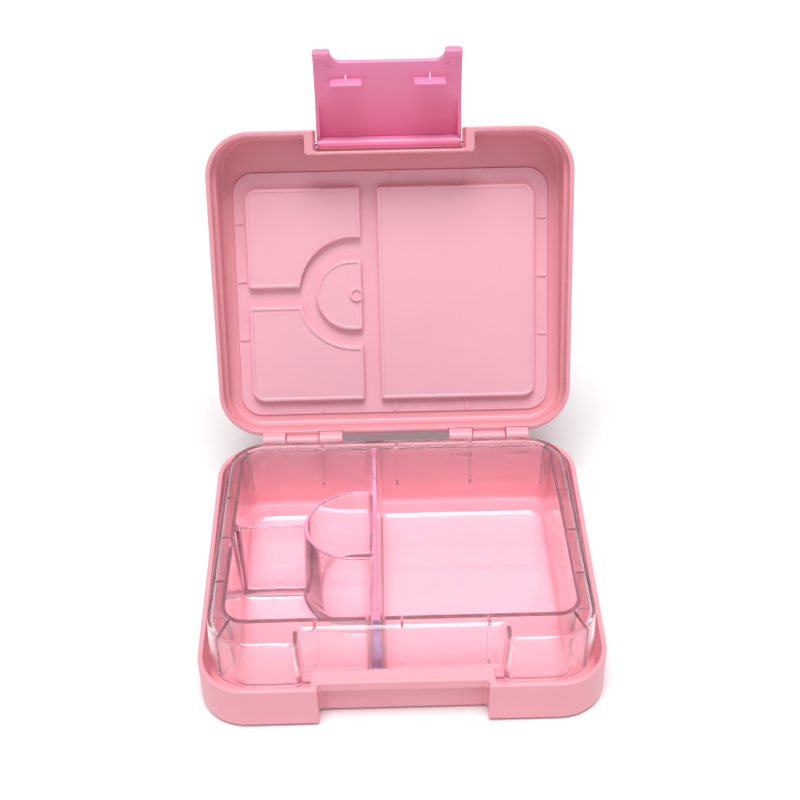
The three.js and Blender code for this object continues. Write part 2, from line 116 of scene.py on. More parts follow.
@dataclass(frozen=True)
class OpenPose:
    """Where the lid and the latch stand at rest, from the joints of the record."""

    hinge: Vector = field(default_factory=lambda: Vector(joint_named("lid_hinge")["pos_m"]) / MM)
    pivot: Vector = field(default_factory=lambda: Vector(joint_named("latch_pivot")["pos_m"]) / MM)
    lid_degrees: float = field(default_factory=lambda: joint_named("lid_hinge")["range_deg"][1])
    latch_degrees: float = field(default_factory=lambda: joint_named("latch_pivot")["range_deg"][1])

    def lid(self) -> Matrix:
        """Give the turn from the closed lid to the open one."""
        return turn_about_x(-self.lid_degrees, self.hinge.y, self.hinge.z)

    def closed_pivot(self) -> Vector:
        """Give the latch pin's place with the lid closed."""
        return self.lid().inverted() @ self.pivot

    def latch(self) -> Matrix:
        """Give the turn from the closed latch to the open one."""
        pivot = self.closed_pivot()
        return self.lid() @ turn_about_x(-self.latch_degrees, pivot.y, pivot.z)


# ---- outlines -----------------------------------------------------------------------------------


def arc(x: float, y: float, radius: float, start: float, end: float, steps: int) -> list[Point]:
    """Sample an arc.

    Args:
        x: Centre X.
        y: Centre Y.
        radius: Radius.
        start: First angle in degrees.
        end: Last angle in degrees.
        steps: Number of chords.

    Returns:
        The points from start to end, both included.
    """
    angles = [math.radians(start + (end - start) * i / steps) for i in range(steps + 1)]
    return [(x + radius * math.cos(a), y + radius * math.sin(a)) for a in angles]


@dataclass(frozen=True)
class Plan:
    """A closed outline with straight sides and filleted corners, drawn anticlockwise.

    Attributes:
        corners: Each corner's x, y and fillet radius.
        steps: Chords in each fillet.
    """

    corners: tuple[tuple[float, float, float], ...]
    steps: int = 8

    def _sides(self, i: int) -> tuple[Vector, Vector]:
        """Give the unit directions into and out of corner i."""
        here = Vector(self.corners[i][:2])
        before = Vector(self.corners[i - 1][:2])
        after = Vector(self.corners[(i + 1) % len(self.corners)][:2])
        return (here - before).normalized(), (after - here).normalized()

    def inset(self, by: float) -> "Plan":
        """Move every side inwards.

        Args:
            by: Distance; negative grows the outline.

        Returns:
            The new outline, with its fillets kept concentric.
        """
        moved = []
        for i, (x, y, radius) in enumerate(self.corners):
            into, out = self._sides(i)
            normals = Vector((-into.y, into.x)), Vector((-out.y, out.x))
            shift = (normals[0] + normals[1]) * by / (1 + normals[0].dot(normals[1]))
            convex = into.x * out.y - into.y * out.x > 0
            moved.append((x + shift.x, y + shift.y, max(SHARP, radius - by if convex else radius + by)))
        return replace(self, corners=tuple(moved))

    def points(self) -> list[Point]:
        """Sample the outline; outlines with as many corners give as many points."""
        found = []
        for i, (x, y, radius) in enumerate(self.corners):
            into, out = self._sides(i)
            turn = math.atan2(into.x * out.y - into.y * out.x, into.dot(out))
            reach = radius * math.tan(abs(turn) / 2)
            side = math.copysign(1, turn)
            centre = Vector((x, y)) - into * reach + Vector((-into.y, into.x)) * radius * side
            start = math.degrees(math.atan2(into.y, into.x)) - 90 * side
            found += arc(centre.x, centre.y, radius, start, start + math.degrees(turn), self.steps)
        return found


def rectangle(x0: float, x1: float, y0: float, y1: float, radius: float, steps: int = 8) -> Plan:
    """Draw a rectangle with round corners."""
    corners = ((x0, y0, radius), (x1, y0, radius), (x1, y1, radius), (x0, y1, radius))
    return Plan(corners, steps)


@dataclass(frozen=True)
class Notch:
    """A bay in the middle of an outline's front side.

    Attributes:
        half: Half its width.
        back: Y of its back wall.
        fillet: Radius of its two inner corners.
        mouth: Radius of its two outer corners.
    """

    half: float
    back: float
    fillet: float = 1.5
    mouth: float = 1.0


def notched(half: float, front: float, back: float, radius: float, notch: Notch, steps: int = 14) -> Plan:
    """Draw a rounded rectangle with a notch in its front side."""
    return Plan(
        (
            (notch.half, notch.back, notch.fillet),
            (notch.half, front, notch.mouth),
            (half, front, radius),
            (half, back, radius),
            (-half, back, radius),
            (-half, front, radius),
            (-notch.half, front, notch.mouth),
            (-notch.half, notch.back, notch.fillet),
        ),
        steps,
    )


def offset_path(points: Sequence[Point], by: float) -> list[Point]:
    """Move a dense anticlockwise path inwards along its own normals.

    Args:
        points: The path.
        by: Distance; negative grows it.

    Returns:
        The moved path, with as many points.
    """
    count = len(points)
    moved = []
    for i in range(count):
        here, before, after = Vector(points[i]), Vector(points[i - 1]), Vector(points[(i + 1) % count])
        into = (here - before).normalized()
        out = (after - here).normalized()
        normal = Vector((-into.y - out.y, into.x + out.x)).normalized()
        stretch = max(0.5, Vector((-into.y, into.x)).dot(normal))
        moved.append(tuple(here + normal * by / stretch))
    return moved


def quarter(radius: float, steps: int = 5) -> list[Point]:
    """Sample a quarter round.

    Args:
        radius: Radius.
        steps: Number of chords.

    Returns:
        Pairs of inset and depth, from (radius, 0) to (0, radius).
    """
    angles = [math.pi / 2 * i / steps for i in range(steps + 1)]
    return [(radius * (1 - math.sin(a)), radius * (1 - math.cos(a))) for a in angles]


# ---- meshes -------------------------------------------------------------------------------------


class Loft:
    """A closed skin through rings that all have as many points, capped at both ends."""

    def __init__(self) -> None:
        """Start with no rings."""
        self.rings: list[list[Vector]] = []

    def ring(self, outline: "Plan | Sequence[Point]", height: Height) -> None:
        """Add a ring.

        Args:
            outline: Its plan or its points.
            height: Its level, or the level as a function of x and y.
        """
        points = outline.points() if isinstance(outline, Plan) else outline
        level = height if callable(height) else (lambda x, y: height)
        self.rings.append([Vector((x, y, level(x, y))) for x, y in points])

    def build(self, name: str, placed: Matrix | None = None) -> bpy.types.Object:
        """Make the mesh.

        Args:
            name: The object's name.
            placed: A move in millimetres from drawn to final place.

        Returns:
            The new object, in metres.
        """
        mesh = bmesh.new()
        rows = [[mesh.verts.new(point) for point in ring] for ring in self.rings]
        for low, high in zip(rows, rows[1:]):
            for i in range(len(low)):
                j = (i + 1) % len(low)
                mesh.faces.new((low[i], low[j], high[j], high[i]))
        mesh.faces.new(list(reversed(rows[0])))
        mesh.faces.new(rows[-1])
        bmesh.ops.remove_doubles(mesh, verts=mesh.verts, dist=WELD_MM)
        bmesh.ops.dissolve_degenerate(mesh, edges=mesh.edges, dist=WELD_MM)
        mesh.transform(Matrix.Scale(MM, 4) @ (placed or Matrix.Identity(4)))
        bmesh.ops.recalc_face_normals(mesh, faces=mesh.faces)
        return as_object(name, mesh)


def as_object(name: str, mesh: bmesh.types.BMesh) -> bpy.types.Object:
    """Put a bmesh in the scene as an object and free it."""
    data = bpy.data.meshes.new(name)
    mesh.to_mesh(data)
    mesh.free()
    made = bpy.data.objects.new(name, data)
    bpy.context.scene.collection.objects.link(made)
    return made


# a profile's (across, up) plane turned so that the loft runs along X or along Y
ALONG_X = Matrix(((0, 0, 1, 0), (1, 0, 0, 0), (0, 1, 0, 0), (0, 0, 0, 1)))
ALONG_Y = Matrix(((1, 0, 0, 0), (0, 0, 1, 0), (0, 1, 0, 0), (0, 0, 0, 1)))


def bar(name: str, outline: Plan, start: float, end: float, edge: float, way: Matrix) -> bpy.types.Object:
    """Make a bar of one profile with softened ends.

    Args:
        name: The object's name.
        outline: The profile.
        start: Where it begins along its way.
        end: Where it ends.
        edge: Rounding of its two end edges.
        way: ALONG_X, ALONG_Y or an identity for upright.

    Returns:
        The bar.
    """
    loft = Loft()
    for inset, depth in quarter(edge, 3):
        loft.ring(outline.inset(inset), start + depth)
    for inset, depth in reversed(quarter(edge, 3)):
        loft.ring(outline.inset(inset), end - depth)
    return loft.build(name, way)


def circle(y: float, z: float, radius: float, steps: int = 12) -> Plan:
    """Draw a circle as a square with fillets of its own half side."""
    return rectangle(y - radius, y + radius, z - radius, z + radius, radius - 1e-3, steps)


def apply_boolean(target: bpy.types.Object, tools: Sequence[bpy.types.Object], operation: str) -> None:
    """Join or cut an object with others, which are used up.

    Args:
        target: The object that changes.
        tools: The objects that it is joined with or cut by.
        operation: UNION or DIFFERENCE.
    """
    for tool in tools:
        modifier = target.modifiers.new("boolean", "BOOLEAN")
        modifier.operation = operation
        modifier.solver = "EXACT"
        modifier.object = tool
    evaluated = target.evaluated_get(bpy.context.evaluated_depsgraph_get())
    result = bpy.data.meshes.new_from_object(evaluated)
    target.modifiers.clear()
    old = target.data
    target.data = result
    bpy.data.meshes.remove(old)
    for tool in tools:
        spent = tool.data
        bpy.data.objects.remove(tool)
        bpy.data.meshes.remove(spent)


def place(piece: bpy.types.Object, matrix: Matrix) -> None:
    """Move a mesh by a matrix that is in millimetres."""
    piece.data.transform(Matrix.Scale(MM, 4) @ matrix @ Matrix.Scale(1 / MM, 4))


def clean(piece: bpy.types.Object) -> None:
    """Weld what a boolean left apart, and triangulate its large faces."""
    mesh = bmesh.new()
    mesh.from_mesh(piece.data)
    bmesh.ops.remove_doubles(mesh, verts=mesh.verts, dist=WELD)
    bmesh.ops.dissolve_degenerate(mesh, edges=mesh.edges, dist=SLIVER)
    large = [face for face in mesh.faces if len(face.verts) > 4]
    bmesh.ops.triangulate(mesh, faces=large)
    mesh.to_mesh(piece.data)
    mesh.free()


def dress(
    piece: bpy.types.Object,
    material: bpy.types.Material,
    slot: Slot,
    rides: Rides,
    *nodes: str,
    crease: float = 32,
) -> bpy.types.Object:
    """Finish a piece: shading, material, body and the CAD nodes that it stands for.

    Args:
        piece: The finished mesh.
        material: Its material.
        slot: The record's slot; not used.
        rides: The body that it moves with.
        *nodes: The CAD nodes that it replaces.
        crease: Edges bent by more degrees than this stay sharp.

    Returns:
        The piece.
    """
    clean(piece)
    piece.data.materials.clear()
    piece.data.materials.append(material)
    piece.data.shade_smooth()
    piece.data.set_sharp_from_angle(angle=math.radians(crease))
    weighted = piece.modifiers.new("flat_faces_first", "WEIGHTED_NORMAL")
    weighted.keep_sharp = True
    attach(piece, rides.value)
    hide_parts(*nodes)
    LOG.info("%s: %d faces, rides on %s", piece.name, len(piece.data.polygons), rides.value)
    return piece


# ---- finishes -----------------------------------------------------------------------------------


class NodeSheet:
    """Places nodes in a material or a group and links them."""

    def __init__(self, tree: bpy.types.NodeTree) -> None:
        """Keep the tree that is written to."""
        self.tree = tree

    def add(self, kind: str, settings: dict | None = None, **inputs: object) -> bpy.types.Node:
        """Add a node.

        Args:
            kind: The node's type name.
            settings: Properties set on the node itself.
            **inputs: Socket names, with _ for a blank, to values or to sockets that feed them.

        Returns:
            The node.
        """
        node = self.tree.nodes.new(kind)
        for name, value in (settings or {}).items():
            setattr(node, name, value)
        for name, value in inputs.items():
            self.feed(node.inputs[name.replace("_", " ")], value)
        return node

    def feed(self, socket: bpy.types.NodeSocket, value: object) -> None:
        """Link a socket or set its value."""
        if isinstance(value, bpy.types.NodeSocket):
            self.tree.links.new(value, socket)
        else:
            socket.default_value = value

    def math(self, operation: str, *values: object) -> bpy.types.NodeSocket:
        """Add a Math node and give its result."""
        node = self.tree.nodes.new("ShaderNodeMath")
        node.operation = operation
        for socket, value in zip(node.inputs, values):
            self.feed(socket, value)
        return node.outputs[0]


def new_group(name: str, inputs: dict[str, tuple[str, object]], outputs: dict[str, str]) -> bpy.types.NodeTree:
    """Make an empty shader group with named sockets.

    Args:
        name: The group's name.
        inputs: Socket names to a socket type and a starting value.
        outputs: Socket names to a socket type.

    Returns:
        The group, with its input and output nodes in place.
    """
    group = bpy.data.node_groups.new(name, "ShaderNodeTree")
    for title, (kind, value) in inputs.items():
        socket = group.interface.new_socket(title, in_out="INPUT", socket_type=kind)
        socket.default_value = value
    for title, kind in outputs.items():
        group.interface.new_socket(title, in_out="OUTPUT", socket_type=kind)
    group.nodes.new("NodeGroupInput")
    group.nodes.new("NodeGroupOutput")
    return group


class SurfaceGroups:
    """The effects that several of the box's materials share, each a node group built once."""

    def __init__(self) -> None:
        """Build the groups."""
        self.skin = self._moulded_skin()
        self.handling = self._handling()

    @staticmethod
    def _moulded_skin() -> bpy.types.NodeTree:
        """Build the fine texture of a moulded surface: spark grain over slow waviness of the sheet."""
        floats = "NodeSocketFloat"
        group = new_group(
            "MouldedSkin",
            {"Grain Scale": (floats, 900.0), "Wave Scale": (floats, 28.0), "Wave Share": (floats, 0.3)},
            {"Height": floats, "Mottle": floats},
        )
        sheet = NodeSheet(group)
        given, out = group.nodes["Group Input"], group.nodes["Group Output"]
        spot = sheet.add("ShaderNodeTexCoord").outputs["Object"]
        grain = sheet.add(
            "ShaderNodeTexNoise", Vector=spot, Scale=given.outputs["Grain Scale"], Detail=3.0, Roughness=0.6
        )
        wave = sheet.add(
            "ShaderNodeTexNoise", Vector=spot, Scale=given.outputs["Wave Scale"], Detail=2.0, Roughness=0.45
        )
        share = given.outputs["Wave Share"]
        fine = sheet.math("MULTIPLY", grain.outputs["Fac"], sheet.math("SUBTRACT", 1.0, share))
        slow = sheet.math("MULTIPLY", wave.outputs["Fac"], share)
        sheet.feed(out.inputs["Height"], sheet.math("ADD", fine, slow))
        sheet.feed(out.inputs["Mottle"], wave.outputs["Fac"])
        return group

    @staticmethod
    def _handling() -> bpy.types.NodeTree:
        """Build the faint marks of use: a smear mask and fine scratches that change the gloss."""
        floats = "NodeSocketFloat"
        group = new_group(
            "HandlingMarks",
            {"Smear Scale": (floats, 22.0), "Scratch Scale": (floats, 160.0), "Roughness": (floats, 0.4),
             "Spread": (floats, 0.06)},
            {"Roughness": floats, "Scratches": floats},
        )
        sheet = NodeSheet(group)
        given, out = group.nodes["Group Input"], group.nodes["Group Output"]
        spot = sheet.add("ShaderNodeTexCoord").outputs["Object"]
        smear = sheet.add(
            "ShaderNodeTexNoise", Vector=spot, Scale=given.outputs["Smear Scale"], Detail=5.0, Roughness=0.62
        )
        stretched = sheet.add(
            "ShaderNodeMapping", Vector=spot, Rotation=(0.3, 0.2, 0.7), Scale=(1.0, 0.06, 0.3)
        )
        hair = sheet.add(
            "ShaderNodeTexNoise", Vector=stretched.outputs["Vector"], Scale=given.outputs["Scratch Scale"],
            Detail=4.0, Roughness=0.7,
        )
        lines = sheet.add(
            "ShaderNodeMapRange", {"interpolation_type": "SMOOTHSTEP"}, Value=hair.outputs["Fac"],
            From_Min=0.66, From_Max=0.74,
        )
        centred = sheet.math("SUBTRACT", smear.outputs["Fac"], 0.5)
        swing = sheet.math("MULTIPLY", centred, given.outputs["Spread"])
        swing = sheet.math("MULTIPLY", swing, 2.0)
        marks = sheet.math("MULTIPLY", lines.outputs["Result"], given.outputs["Spread"])
        rough = sheet.math("ADD", sheet.math("ADD", given.outputs["Roughness"], swing), marks)
        sheet.feed(out.inputs["Roughness"], rough)
        sheet.feed(out.inputs["Scratches"], lines.outputs["Result"])
        return group


@dataclass(frozen=True)
class MouldedPlastic:
    """An opaque moulded finish: one colour that drifts a little, a fine skin and marks of use.

    Attributes:
        name: The material's name.
        deep: Colour where the drift is strongest, linear.
        pale: Colour where it is weakest, linear.
        roughness: Middle roughness.
        spread: How far handling moves the roughness.
        grain: Cells of the skin in a metre.
        relief: Depth of the skin in metres.
        glow: Share of light that passes under the skin.
        coat: Weight of the clear gloss on top.
    """

    name: str
    deep: tuple[float, float, float]
    pale: tuple[float, float, float]
    roughness: float
    spread: float
    grain: float
    relief: float
    glow: float
    coat: float = 0.0

    def make(self, groups: SurfaceGroups) -> bpy.types.Material:
        """Build the material.

        Args:
            groups: The shared effects.

        Returns:
            The material.
        """
        material = bpy.data.materials.new(self.name)
        material.use_nodes = True
        sheet = NodeSheet(material.node_tree)
        shader = material.node_tree.nodes["Principled BSDF"]
        skin = sheet.add("ShaderNodeGroup", {"node_tree": groups.skin}, Grain_Scale=self.grain)
        marks = sheet.add(
            "ShaderNodeGroup", {"node_tree": groups.handling}, Roughness=self.roughness, Spread=self.spread
        )
        drift = sheet.add("ShaderNodeMix", {"data_type": "RGBA"}, Factor=skin.outputs["Mottle"])
        drift.inputs[6].default_value = (*self.deep, 1)
        drift.inputs[7].default_value = (*self.pale, 1)
        bump = sheet.add("ShaderNodeBump", Height=skin.outputs["Height"], Strength=0.5, Distance=self.relief)
        sheet.feed(shader.inputs["Base Color"], drift.outputs[2])
        sheet.feed(shader.inputs["Roughness"], marks.outputs["Roughness"])
        sheet.feed(shader.inputs["Normal"], bump.outputs["Normal"])
        shader.inputs["Subsurface Weight"].default_value = self.glow
        shader.inputs["Subsurface Radius"].default_value = (1.0, 0.35, 0.4)
        shader.inputs["Subsurface Scale"].default_value = 0.0025
        shader.inputs["Coat Weight"].default_value = self.coat
        shader.inputs["Coat Roughness"].default_value = 0.12
        return material


@dataclass(frozen=True)
class ClearPlastic:
    """Polished clear plastic that goes violet-blue where light runs far through it.

    Attributes:
        name: The material's name.
        index: Refractive index.
        tint: Colour left after the light has run through a thick edge, linear.
        density: Absorption in one metre.
        body: Share of the light that the walls bend; the rest goes straight through.
        shade: Colour of the light that passes to whatever lies in the tray's shadow.
    """

    name: str
    index: float
    tint: tuple[float, float, float]
    density: float
    body: float = 0.9
    shade: tuple[float, float, float] = (0.91, 0.79, 0.80)

    def make(self, groups: SurfaceGroups) -> bpy.types.Material:
        """Build the material.

        Args:
            groups: The shared effects.

        Returns:
            The material.
        """
        material = bpy.data.materials.new(self.name)
        material.use_nodes = True
        sheet = NodeSheet(material.node_tree)
        shader = material.node_tree.nodes["Principled BSDF"]
        skin = sheet.add("ShaderNodeGroup", {"node_tree": groups.skin}, Grain_Scale=60.0, Wave_Scale=18.0)
        marks = sheet.add("ShaderNodeGroup", {"node_tree": groups.handling}, Roughness=0.02, Spread=0.015)
        bump = sheet.add("ShaderNodeBump", Height=skin.outputs["Height"], Strength=0.12, Distance=0.0004)
        sheet.feed(shader.inputs["Roughness"], marks.outputs["Roughness"])
        sheet.feed(shader.inputs["Normal"], bump.outputs["Normal"])
        shader.inputs["Base Color"].default_value = (1, 1, 1, 1)
        shader.inputs["Transmission Weight"].default_value = 1.0
        shader.inputs["IOR"].default_value = self.index
        shader.inputs["Alpha"].default_value = self.body
        output = material.node_tree.nodes["Material Output"]
        rays = sheet.add("ShaderNodeLightPath")
        through = sheet.add("ShaderNodeBsdfTransparent", Color=(*self.shade, 1))
        both = sheet.add("ShaderNodeMixShader", Fac=rays.outputs["Is Shadow Ray"])
        sheet.feed(both.inputs[1], shader.outputs["BSDF"])
        sheet.feed(both.inputs[2], through.outputs[0])
        sheet.feed(output.inputs["Surface"], both.outputs[0])
        absorb = sheet.add("ShaderNodeVolumeAbsorption", Color=(*self.tint, 1), Density=self.density)
        sheet.feed(output.inputs["Volume"], absorb.outputs[0])
        return material


@dataclass(frozen=True)
class DrawnSteel:
    """Bright drawn steel with fine lines round the rod."""

    name: str

    def make(self, groups: SurfaceGroups) -> bpy.types.Material:
        """Build the material.

        Args:
            groups: The shared effects.

        Returns:
            The material.
        """
        material = bpy.data.materials.new(self.name)
        material.use_nodes = True
        sheet = NodeSheet(material.node_tree)
        shader = material.node_tree.nodes["Principled BSDF"]
        marks = sheet.add("ShaderNodeGroup", {"node_tree": groups.handling}, Roughness=0.28, Spread=0.12)
        skin = sheet.add("ShaderNodeGroup", {"node_tree": groups.skin}, Grain_Scale=2500.0)
        bump = sheet.add("ShaderNodeBump", Height=skin.outputs["Height"], Strength=0.3, Distance=0.00002)
        shader.inputs["Base Color"].default_value = (0.56, 0.57, 0.59, 1)
        shader.inputs["Metallic"].default_value = 1.0
        sheet.feed(shader.inputs["Roughness"], marks.outputs["Roughness"])
        sheet.feed(shader.inputs["Normal"], bump.outputs["Normal"])
        return material


SHELL_PLASTIC = MouldedPlastic(
    name="pink_shell_plastic",
    deep=(0.83, 0.34, 0.40),
    pale=(0.86, 0.38, 0.45),
    roughness=0.38,
    spread=0.05,
    grain=1600.0,
    relief=0.00002,
    glow=0.04,
    coat=0.1,
)
LATCH_PLASTIC = MouldedPlastic(
    name="hot_pink_latch_plastic",
    deep=(0.86, 0.27, 0.48),
    pale=(0.89, 0.31, 0.53),
    roughness=0.34,
    spread=0.06,
    grain=1400.0,
    relief=0.00002,
    glow=0.03,
    coat=0.15,
)
SEAL_SILICONE = MouldedPlastic(
    name="pink_silicone",
    deep=(0.86, 0.44, 0.52),
    pale=(0.90, 0.48, 0.57),
    roughness=0.5,
    spread=0.05,
    grain=900.0,
    relief=0.00003,
    glow=0.1,
)
TRAY_PLASTIC = ClearPlastic("clear_tray_plastic", index=1.49, tint=(0.55, 0.55, 0.92), density=11.0)


# ---- the box's shared sizes ---------------------------------------------------------------------


@dataclass(frozen=True)
class BoxSizes:
    """Sizes that both shells share, in millimetres."""

    half_width: float = 88.0
    half_depth: float = 75.5
    height: float = 52.0
    corner: float = 21.5
    wall: float = 2.3
    floor: float = 2.2
    roof: float = 2.4
    rim_front: float = 21.2
    rim_back: float = 38.35
    gap: float = 0.3
    bay_half: float = 36.1
    rim_round: float = 0.7
    knuckle: float = 2.8
    tab_radius: float = 4.6
    bore: float = 1.3
    tabs: tuple[Point, ...] = ((26.9, 38.6), (55.6, 66.95))
    knuckle_span: Point = (38.95, 55.25)

    def rim(self, drop: float) -> Callable[[float, float], float]:
        """Give the sloping parting plane, lowered by drop, as a height function."""
        slope = (self.rim_back - self.rim_front) / (2 * self.half_depth)
        return lambda x, y: self.rim_front + slope * (y + self.half_depth) - drop

    def plan(self, inset: float, notch: Notch, front: float | None = None) -> Plan:
        """Draw the box's outline with its own notch.

        Args:
            inset: How far its sides lie inside the box's.
            notch: The bay in its front side.
            front: The front side's own inset, where it differs.

        Returns:
            The outline.
        """
        front_side = -self.half_depth + (inset if front is None else front)
        return notched(
            self.half_width - inset, front_side, self.half_depth - inset, max(1.0, self.corner - inset), notch
        )


def mirrored(span: Point) -> tuple[Point, Point]:
    """Give a span on the right and its mirror on the left."""
    return span, (-span[1], -span[0])


# ---- base ---------------------------------------------------------------------------------------


@dataclass(frozen=True)
class BaseShell:
    """The lower shell, with the latch recess and lip in front and the hinge tabs behind."""

    sizes: BoxSizes
    pose: OpenPose
    foot_round: float = 3.0
    lip_face: float = -71.8
    lip_bottom: float = 17.0
    lip_edge: float = 0.5
    recess_wall: float = -67.5
    housing: Notch = Notch(39.1, -64.65, fillet=3.0, mouth=2.0)
    slot_bottom: float = 30.8
    slot_top: float = 33.2
    slot_corner: float = 0.3
    tab_web_top: float = 0.4

    def _shell(self) -> bpy.types.Object:
        """Loft the shell from its underside, up the outside, over the rim and down to its floor."""
        s = self.sizes
        recess = Notch(s.bay_half, self.recess_wall)
        lip = Notch(s.bay_half, self.lip_face)
        inside = s.plan(s.wall, self.housing)
        loft = Loft()
        for inset, rise in quarter(self.foot_round):
            loft.ring(s.plan(0, recess).inset(inset), rise)
        loft.ring(s.plan(0, recess), self.lip_bottom)
        for inset, rise in quarter(self.lip_edge, 3):
            loft.ring(s.plan(0, replace(lip, back=self.lip_face + inset)), self.lip_bottom + rise)
        for inset, drop in reversed(quarter(s.rim_round, 4)):
            loft.ring(s.plan(0, lip).inset(inset), s.rim(drop))
        for inset, drop in quarter(s.rim_round, 4):
            loft.ring(inside.inset(-inset), s.rim(drop))
        for inset, rise in reversed(quarter(self.foot_round)):
            loft.ring(inside.inset(inset), s.floor + rise)
        return loft.build("base")

    def _tab(self, span: Point) -> bpy.types.Object:
        """Make one hinge tab: a round boss on a web from the back wall."""
        y, z, r = self.pose.hinge.y, self.pose.hinge.z, self.sizes.tab_radius
        root = self.sizes.half_depth - PAST
        profile = Plan(
            (
                (root, z - r, SHARP),
                (y + r, z - r, r - SHARP),
                (y + r, z + r, r - SHARP),
                (y - r, z + r, r - SHARP),
                (y - r, z - self.tab_web_top, SHARP),
                (root, z - self.tab_web_top, SHARP),
            )
        )
        return bar("tab", profile, *span, END_EDGE, ALONG_X)

    def build(self, material: bpy.types.Material) -> None:
        """Build and dress the shell.

        Args:
            material: The shells' plastic.
        """
        s = self.sizes
        shell = self._shell()
        spans = [side for span in s.tabs for side in mirrored(span)]
        apply_boolean(shell, [self._tab(span) for span in spans], "UNION")
        inner, outer = s.half_depth - 2 * s.wall, s.half_depth + PAST
        slot = rectangle(inner, outer, self.slot_bottom, self.slot_top, self.slot_corner, 3)
        tools = [bar("slot", slot, *span, TOOL_EDGE, ALONG_X) for span in spans]
        bore = circle(self.pose.hinge.y, self.pose.hinge.z, s.bore)
        tools += [bar("bore", bore, start - PAST, end + PAST, TOOL_EDGE, ALONG_X) for start, end in spans]
        apply_boolean(shell, tools, "DIFFERENCE")
        shell.name = "base_shell_moulding"
        dress(shell, material, Slot.SHELL, Rides.BASE, "base_shell")


# ---- lid ----------------------------------------------------------------------------------------


@dataclass(frozen=True)
class LidShell:
    """The upper shell, with the latch bay in front and two hinge knuckles behind, built closed."""

    sizes: BoxSizes
    pose: OpenPose
    bay: Notch = Notch(36.1, -65.3)
    shelf: Notch = Notch(36.1, -66.2)
    housing: Notch = Notch(40.4, -64.0, fillet=1.6, mouth=1.0)
    ledge_rise: float = 5.0
    wall_inset: float = 4.4
    wall_front: float = 2.95
    wall_top: float = 45.1
    cove_inset: float = 6.3
    cove_front: float = 4.8
    bed_level: float = 46.8
    seat: tuple[float, float, float, float] = (77.8, -55.4, 66.5, 10.3)
    edge: float = 0.25
    shelf_ease: float = 0.4
    cove_steps: int = 6
    arm_bottom: float = 39.0
    arm_top: float = 44.0
    arm_reach: float = 1.6
    arm_fillet: float = 1.2
    pin_half: float = 38.9

    def _outside(self, loft: Loft) -> None:
        """Add the rings from the top face down to the rim."""
        s = self.sizes
        for inset, drop in quarter(s.roof):
            eased = min(inset, self.shelf_ease)
            edge = replace(self.shelf, half=self.shelf.half + eased, back=self.shelf.back + eased)
            loft.ring(s.plan(inset, edge), s.height - drop)
        loft.ring(s.plan(0, self.bay), s.height - s.roof)
        for inset, rise in reversed(quarter(s.rim_round, 4)):
            loft.ring(s.plan(0, self.bay).inset(inset), s.rim(-s.gap - rise))

    def _inside(self, loft: Loft) -> None:
        """Add the rings from the rim over the ledge and the cove to the seal's seat."""
        s = self.sizes
        well = s.plan(s.wall, self.housing)
        wall = s.plan(self.wall_inset, self.housing, self.wall_front)
        for inset, rise in quarter(s.rim_round, 4):
            loft.ring(well.inset(-inset), s.rim(-s.gap - rise))
        ledge = -s.gap - self.ledge_rise
        for across, drop in reversed(quarter(self.edge, 3)):
            loft.ring(well.inset(across), s.rim(ledge + drop))
        for across, rise in quarter(self.edge, 3):
            loft.ring(wall.inset(-across), s.rim(ledge - rise))
        reach, lift = self.cove_inset - self.wall_inset, self.bed_level - self.wall_top
        for i in range(self.cove_steps + 1):
            angle = math.radians(90 * i / self.cove_steps)
            share = 1 - math.cos(angle)
            inset = self.wall_inset + reach * share
            front = self.wall_front + (self.cove_front - self.wall_front) * share
            loft.ring(s.plan(inset, self.housing, front), self.wall_top + lift * math.sin(angle))
        half, front_side, back_side, corner = self.seat
        # a notch too shallow to see keeps the seat's ring as long as the rings below it
        trace = Notch(self.housing.half, front_side + 0.02, 0.01, 0.01)
        seat = notched(half, front_side, back_side, corner, trace)
        for across, rise in quarter(self.edge, 3):
            loft.ring(seat.inset(-across), self.bed_level + rise)
        loft.ring(seat, s.height - s.roof)

    def _knuckle(self, span: Point) -> bpy.types.Object:
        """Make one knuckle: a round boss on an arm from the back wall."""
        y, z, r = self.pose.hinge.y, self.pose.hinge.z, self.sizes.knuckle
        root = self.sizes.half_depth - PAST
        profile = Plan(
            (
                (y - r, z - r, r - SHARP),
                (y + r, z - r, r - SHARP),
                (y + r, z + 0.7 * r, r / 2),
                (y + self.arm_reach, self.arm_top, self.arm_fillet),
                (root, self.arm_top, SHARP),
                (root, self.arm_bottom, SHARP),
                (y - r, self.arm_bottom, SHARP),
            )
        )
        return bar("knuckle", profile, *span, END_EDGE, ALONG_X)

    def build(self, material: bpy.types.Material) -> None:
        """Build and dress the shell.

        Args:
            material: The shells' plastic.
        """
        s = self.sizes
        loft = Loft()
        self._outside(loft)
        self._inside(loft)
        shell = loft.build("lid_shell_moulding")
        spans = mirrored(s.knuckle_span)
        clearance = circle(self.pose.hinge.y, self.pose.hinge.z, s.tab_radius + s.gap)
        tabs = [side for span in s.tabs for side in mirrored(span)]
        cuts = [bar("tab_cut", clearance, tab[0] - s.gap, tab[1] + s.gap, TOOL_EDGE, ALONG_X) for tab in tabs]
        apply_boolean(shell, cuts, "DIFFERENCE")
        apply_boolean(shell, [self._knuckle(span) for span in spans], "UNION")
        bore = circle(self.pose.hinge.y, self.pose.hinge.z, s.bore)
        tools = [bar("bore", bore, start - PAST, end + PAST, TOOL_EDGE, ALONG_X) for start, end in spans]
        pivot = self.pose.closed_pivot()
        hole = circle(pivot.y, pivot.z, s.bore)
        tools.append(bar("pin_hole", hole, -self.pin_half, self.pin_half, TOOL_EDGE, ALONG_X))
        apply_boolean(shell, tools, "DIFFERENCE")
        place(shell, self.pose.lid())
        dress(shell, material, Slot.SHELL, Rides.LID, "lid_shell")


